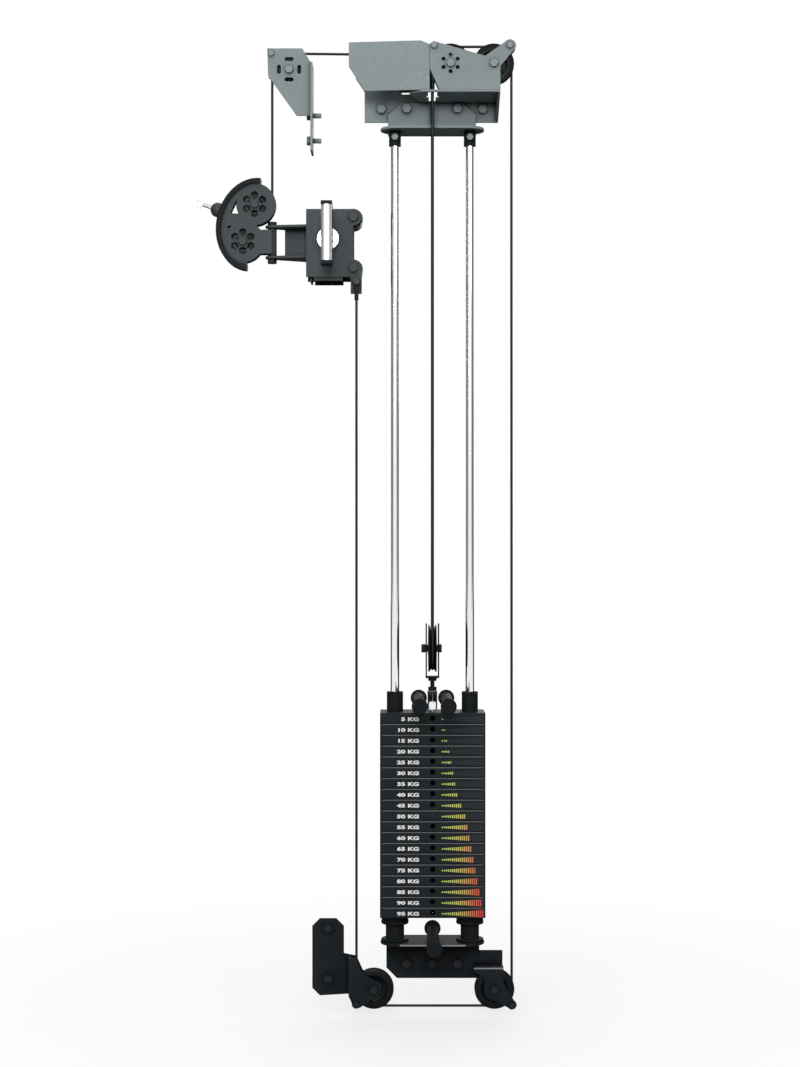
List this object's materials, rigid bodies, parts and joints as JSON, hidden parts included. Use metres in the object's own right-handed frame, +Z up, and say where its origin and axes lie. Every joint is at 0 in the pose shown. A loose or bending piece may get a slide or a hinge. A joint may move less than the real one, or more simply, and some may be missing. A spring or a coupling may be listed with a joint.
{
  "type": "cable pulley station",
  "caption": "Rack-mounted cable pulley station with a guided weight stack, cable and pulleys, a height-adjustable trolley and a swivelling pulley head.",
  "frame": {"origin": "centre of the middle base bolt, on the plane of the lower beam's near face", "axes": "+X to the right seen from the front, +Y back into the rack, +Z up"},
  "size_m": [0.7642, 0.4097, 2.273],
  "materials": {
    "paint_light": "satin powder coat, mid grey-green",
    "paint_slate": "satin powder coat, dark slate",
    "paint_black": "satin powder coat, near black",
    "stack_paint": "fine-textured powder coat, charcoal",
    "bolt_light": "zinc plated and lacquered, grey",
    "bolt_slate": "lacquered steel, slate",
    "bolt_black": "black oxide steel",
    "steel": "zinc plated steel",
    "rubber": "matt black rubber",
    "nylon": "black nylon",
    "chrome": "hard chrome plate",
    "aluminium": "bright anodised",
    "cable": "black nylon coat on steel cable"
  },
  "bodies": {
    "root": {"top_beam_bracket": "paint_light", "top_front_plate": "paint_light", "top_rear_plate": "paint_light", "live_pulley_housing": "paint_light", "rod_hanger": "paint_light", "hanger_sleeves": "paint_black", "guide_rods": "chrome", "front_top_bracket": "paint_light", "base_beam_bracket": "paint_black", "base_right_cheek": "paint_black", "base_left_bracket": "paint_black", "stack_buffers": "rubber", "base_peg": "paint_black", "top_axle_bolts": "bolt_light", "base_axle_bolts": "bolt_black", "top_frame_bolts": "bolt_light", "base_frame_bolts": "bolt_black", "resting_plates": "stack_paint", "cable_top_span": "cable", "cable_return_run": "cable", "cable_dead_run": "cable", "cable_live_run": "cable", "cable_anchor_run": "cable", "cable_front_run": "cable"},
    "stack": {"picked_plates": "stack_paint", "selector_pin": "paint_black", "selector_stem": "chrome", "stack_collars": "rubber", "stack_pegs": "paint_black", "stack_fork": "paint_black", "stack_axle_bolt": "bolt_black", "cable_stack_loop": "cable"},
    "stack_wheel": {"stack_pulley": "nylon"},
    "dead_wheel": {"dead_pulley": "nylon"},
    "top_right_wheel": {"top_right_pulley": "nylon"},
    "live_wheel": {"live_pulley": "nylon"},
    "front_wheel": {"front_top_pulley": "nylon"},
    "base_right_wheel": {"base_right_pulley": "nylon"},
    "base_left_wheel": {"base_left_pulley": "nylon"},
    "trolley": {"trolley_shell": "paint_slate", "trolley_liners": "nylon", "trolley_arm": "paint_slate", "lock_boss": "aluminium", "trolley_bolts": "bolt_slate", "cable_anchor": "steel", "swivel_pin": "bolt_black"},
    "upper_roller": {"roller_upper": "nylon"},
    "lower_roller": {"roller_lower": "nylon"},
    "lock": {"lock_handle": "paint_black", "lock_grip": "aluminium"},
    "head": {"head_plates": "paint_slate", "head_guard": "rubber", "head_bolts": "bolt_slate", "head_cable": "cable", "cable_exit_run": "cable"},
    "head_upper_wheel": {"head_pulley_upper": "nylon"},
    "head_lower_wheel": {"head_pulley_lower": "nylon"},
    "cable_end": {"ball_stop": "rubber", "cable_eye": "steel"}
  },
  "joints": [
    {"name": "stack_lift", "type": "slide", "parent": "root", "child": "stack", "axis": [0, 0, 1], "range_m": [0, 1.1], "deforming": ["cable_dead_run", "cable_live_run"]},
    {"name": "trolley_slide", "type": "slide", "parent": "root", "child": "trolley", "axis": [0, 0, 1], "range_m": [-1.45, 0], "deforming": ["cable_anchor_run", "cable_front_run"]},
    {"name": "lock_pull", "type": "slide", "parent": "trolley", "child": "lock", "axis": [0, -1, 0], "range_m": [0, 0.022], "stiffness_N_per_m": 500, "springref_m": -0.01},
    {"name": "head_swivel", "type": "hinge", "parent": "trolley", "child": "head", "pos_m": [-0.38, 0.022, 1.711], "axis": [0, 0, 1], "range_deg": [-90, 90]},
    {"name": "cable_pull", "type": "slide", "parent": "head", "child": "cable_end", "axis": [-0.9397, 0, 0.342], "range_m": [0, 2.2], "deforming": ["cable_exit_run"]},
    {"name": "stack_pulley_spin", "type": "hinge", "parent": "stack", "child": "stack_wheel", "pos_m": [0, -0.064, 0.7496], "axis": [1, 0, 0], "continuous": true},
    {"name": "live_pulley_spin", "type": "hinge", "parent": "root", "child": "live_wheel", "pos_m": [-0.04075, -0.01099, 2.1085], "axis": [-0.1099, -0.9939, 0], "continuous": true},
    {"name": "front_pulley_spin", "type": "hinge", "parent": "root", "child": "front_wheel", "pos_m": [-0.339, 0.022, 2.12], "axis": [0, -1, 0], "continuous": true},
    {"name": "dead_pulley_spin", "type": "hinge", "parent": "root", "child": "dead_wheel", "pos_m": [0.041, -0.1125, 2.103], "axis": [0, -1, 0], "continuous": true},
    {"name": "top_right_pulley_spin", "type": "hinge", "parent": "root", "child": "top_right_wheel", "pos_m": [0.141, -0.1125, 2.103], "axis": [0, -1, 0], "continuous": true},
    {"name": "base_right_pulley_spin", "type": "hinge", "parent": "root", "child": "base_right_wheel", "pos_m": [0.147, -0.017, -0.056], "axis": [0, -1, 0], "continuous": true},
    {"name": "base_left_pulley_spin", "type": "hinge", "parent": "root", "child": "base_left_wheel", "pos_m": [-0.1375, -0.017, -0.056], "axis": [0, -1, 0], "continuous": true},
    {"name": "head_upper_spin", "type": "hinge", "parent": "head", "child": "head_upper_wheel", "pos_m": [-0.421, 0.022, 1.8], "axis": [0, -1, 0], "continuous": true},
    {"name": "head_lower_spin", "type": "hinge", "parent": "head", "child": "head_lower_wheel", "pos_m": [-0.449, 0.022, 1.712], "axis": [0, -1, 0], "continuous": true},
    {"name": "upper_roller_spin", "type": "hinge", "parent": "trolley", "child": "upper_roller", "pos_m": [-0.186, 0.0375, 1.7665], "axis": [0, -1, 0], "continuous": true},
    {"name": "lower_roller_spin", "type": "hinge", "parent": "trolley", "child": "lower_roller", "pos_m": [-0.186, 0.0375, 1.6465], "axis": [0, -1, 0], "continuous": true}
  ],
  "couplings": [
    {"joint": "cable_pull", "follows": "stack_lift", "ratio": 2},
    {"joint": "stack_pulley_spin", "follows": "stack_lift", "rad_per_m": 20.619},
    {"joint": "live_pulley_spin", "follows": "stack_lift", "rad_per_m": 48.781},
    {"joint": "front_pulley_spin", "follows": "stack_lift", "rad_per_m": 48.781},
    {"joint": "head_upper_spin", "follows": "stack_lift", "rad_per_m": -48.781},
    {"joint": "dead_pulley_spin", "follows": "trolley_slide", "rad_per_m": -24.39},
    {"joint": "top_right_pulley_spin", "follows": "trolley_slide", "rad_per_m": -24.39},
    {"joint": "base_right_pulley_spin", "follows": "trolley_slide", "rad_per_m": -24.39},
    {"joint": "base_left_pulley_spin", "follows": "trolley_slide", "rad_per_m": -24.39},
    {"joint": "upper_roller_spin", "follows": "trolley_slide", "rad_per_m": 45.455},
    {"joint": "lower_roller_spin", "follows": "trolley_slide", "rad_per_m": 45.455}
  ]
}
